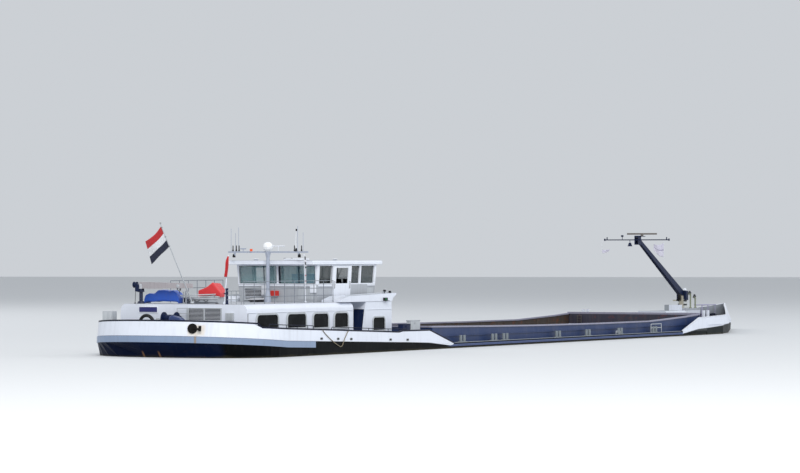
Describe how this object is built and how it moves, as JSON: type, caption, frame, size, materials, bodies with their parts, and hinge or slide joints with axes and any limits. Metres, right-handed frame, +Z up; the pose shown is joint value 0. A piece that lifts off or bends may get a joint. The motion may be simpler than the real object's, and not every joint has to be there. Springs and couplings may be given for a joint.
{
  "type": "self-propelled river barge, 1:10 scale model",
  "caption": "Scale model of a self-propelled river barge: open hold, aft house with wheelhouse, folding fore mast, deck crane, propeller and twin rudders.",
  "frame": {"origin": "under the middle of the flat bottom, at the height of the bottom", "axes": "+X forward to the bow, +Y to port, +Z up"},
  "size_m": [6.9525, 1.0071, 0.917],
  "materials": {
    "hull_black": "satin paint, worn at the waterline",
    "bow_grey": "matt bottom paint",
    "hold_grey": "scraped steel plate",
    "white_paint": "satin paint",
    "band_blue": "satin paint",
    "coaming_blue": "satin paint",
    "navy_paint": "satin paint",
    "grey_paint": "satin paint",
    "cream_paint": "satin paint",
    "bronze": "dull bronze",
    "black_iron": "rough, rusty",
    "tinted_glass": "clear, lightly tinted",
    "floor_covering": "matt",
    "console_plastic": "matt",
    "white_plastic": "gloss",
    "seat_leather": "grained",
    "grey_rubber": "dusty",
    "blue_cloth": "coated cloth",
    "red_cloth": "woven cloth",
    "flag_cloth": "woven cloth in red, white and blue bands",
    "rope_fibre": "laid rope"
  },
  "bodies": {
    "hull": {"stern_hull": "hull_black", "hold_bottom": "hold_grey", "side_tank_port": "hull_black", "side_tank_starboard": "hull_black", "bow_hull": "bow_grey", "stern_bulwark": "white_paint", "side_bulwark_port": "white_paint", "side_bulwark_starboard": "white_paint", "bow_bulwark_port": "white_paint", "bow_bulwark_starboard": "white_paint", "stern_band": "band_blue", "coaming_port": "coaming_blue", "coaming_starboard": "coaming_blue", "coaming_aft": "coaming_blue", "coaming_forward": "coaming_blue", "aft_house": "white_paint", "front_house": "white_paint", "front_wing_port": "white_paint", "front_wing_starboard": "white_paint", "wheelhouse_wall_starboard": "white_paint", "wheelhouse_wall_port": "white_paint", "wheelhouse_wall_aft": "white_paint", "wheelhouse_wall_forward": "white_paint", "wheelhouse_floor": "floor_covering", "wheelhouse_glazing": "tinted_glass", "wheelhouse_roof": "white_paint", "helm_console": "console_plastic", "helm_seat": "seat_leather", "roof_railing_starboard": "grey_paint", "roof_railing_port": "grey_paint", "wheelhouse_mast": "grey_paint", "blue_cover": "blue_cloth", "dinghy": "grey_rubber", "red_cover": "red_cloth", "flagstaff": "grey_paint", "stern_flag": "flag_cloth", "signal_pole": "white_paint", "signal_flag": "red_cloth", "fore_house": "white_paint", "fore_locker": "grey_paint", "windlass": "navy_paint", "vent_pipe_1": "cream_paint", "vent_pipe_2": "cream_paint", "mast_pedestal": "navy_paint", "mast_rest_post": "cream_paint", "stern_anchor": "black_iron", "side_rope": "rope_fibre"},
    "screw": {"propeller": "bronze"},
    "port_rudder": {"rudder_port": "bow_grey"},
    "starboard_rudder": {"rudder_starboard": "bow_grey"},
    "mast": {"fore_mast": "navy_paint"},
    "mast_top": {"mast_head": "navy_paint"},
    "radar": {"radar_scanner": "white_plastic"},
    "crane": {"crane_column": "navy_paint"},
    "crane_arm": {"crane_boom": "grey_paint"},
    "starboard_slider": {"sliding_door_starboard": "white_paint"},
    "port_slider": {"sliding_door_port": "white_paint"},
    "starboard_entrance": {"entrance_door_starboard": "navy_paint"},
    "port_entrance": {"entrance_door_port": "navy_paint"}
  },
  "joints": [
    {"name": "propeller_spin", "type": "hinge", "parent": "hull", "child": "screw", "pos_m": [-2.915, 0, 0.105], "axis": [1, 0, 0], "continuous": true},
    {"name": "rudder_port_turn", "type": "hinge", "parent": "hull", "child": "port_rudder", "pos_m": [-3.075, 0.062, 0.1], "axis": [0, 0, 1], "range_deg": [-40, 40]},
    {"name": "rudder_starboard_turn", "type": "hinge", "parent": "hull", "child": "starboard_rudder", "pos_m": [-3.075, -0.062, 0.1], "axis": [0, 0, 1], "range_deg": [-40, 40]},
    {"name": "fore_mast_fold", "type": "hinge", "parent": "hull", "child": "mast", "pos_m": [2.702, 0, 0.526], "axis": [0, 1, 0], "range_deg": [-22, 60]},
    {"name": "mast_head_level", "type": "hinge", "parent": "mast", "child": "mast_top", "pos_m": [2.025, 0, 0.86], "axis": [0, 1, 0], "range_deg": [-60, 22]},
    {"name": "radar_spin", "type": "hinge", "parent": "mast_top", "child": "radar", "pos_m": [2.049, -0.014, 0.8843], "axis": [0, 0, 1], "continuous": true},
    {"name": "crane_slew", "type": "hinge", "parent": "hull", "child": "crane", "pos_m": [-3.175, 0.267, 0.55], "axis": [0, 0, 1], "range_deg": [0, 150]},
    {"name": "crane_luff", "type": "hinge", "parent": "crane", "child": "crane_arm", "pos_m": [-3.175, 0.267, 0.618], "axis": [-1, 0, 0], "range_deg": [0, 60]},
    {"name": "starboard_door_slide", "type": "slide", "parent": "hull", "child": "starboard_slider", "axis": [1, 0, 0], "range_m": [0, 0.16]},
    {"name": "port_door_slide", "type": "slide", "parent": "hull", "child": "port_slider", "axis": [1, 0, 0], "range_m": [0, 0.16]},
    {"name": "starboard_entrance_swing", "type": "hinge", "parent": "hull", "child": "starboard_entrance", "pos_m": [-2.121, -0.2528, 0.4], "axis": [0, 0, 1], "range_deg": [0, 90]},
    {"name": "port_entrance_swing", "type": "hinge", "parent": "hull", "child": "port_entrance", "pos_m": [-2.121, 0.2528, 0.4], "axis": [0, 0, -1], "range_deg": [0, 90]}
  ],
  "couplings": [
    {"joint": "rudder_starboard_turn", "follows": "rudder_port_turn", "ratio": 1},
    {"joint": "mast_head_level", "follows": "fore_mast_fold", "ratio": -1}
  ]
}
